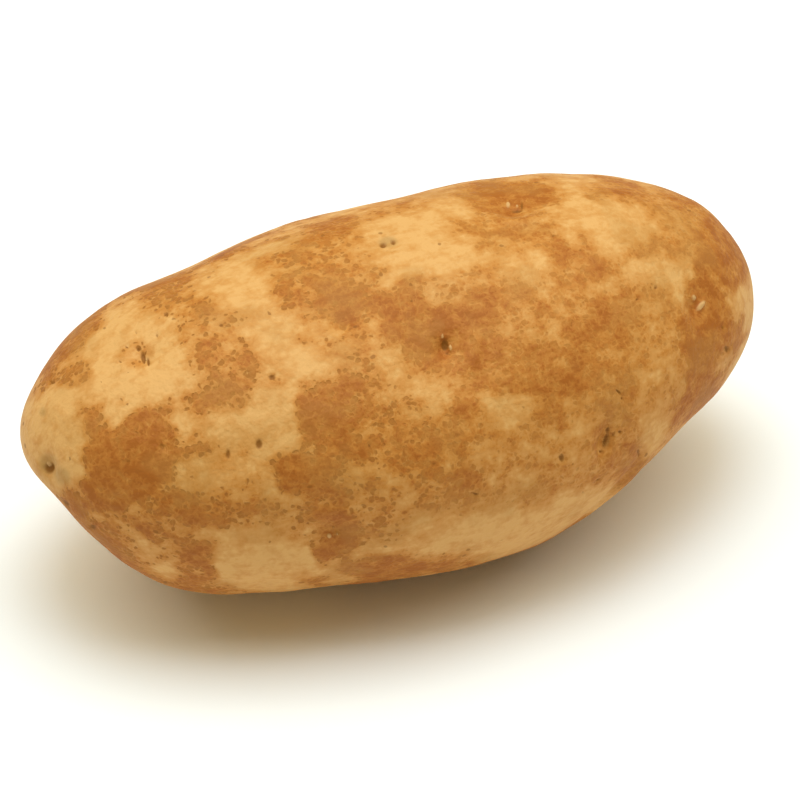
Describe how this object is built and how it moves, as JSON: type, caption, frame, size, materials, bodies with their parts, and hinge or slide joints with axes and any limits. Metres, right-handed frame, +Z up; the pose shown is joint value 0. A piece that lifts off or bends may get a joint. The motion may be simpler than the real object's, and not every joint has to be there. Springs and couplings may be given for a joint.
{
  "type": "potato",
  "caption": "Raw baking potato: a long oval tuber with shallow browed eyes, a stem scar and pale skin under patches of brown netted russet, lying on a small flat spot.",
  "frame": {"origin": "on the ground, under the middle of the tuber's bounding box", "axes": "+X along the tuber from the stem end to the bud end, +Y towards its back, +Z up as it lies"},
  "size_m": [0.128, 0.0672, 0.0581],
  "materials": {
    "skin": "dry matte periderm, pale ochre under patches of reddish brown netted russet"
  },
  "bodies": {
    "root": {"tuber": "skin"}
  },
  "joints": []
}
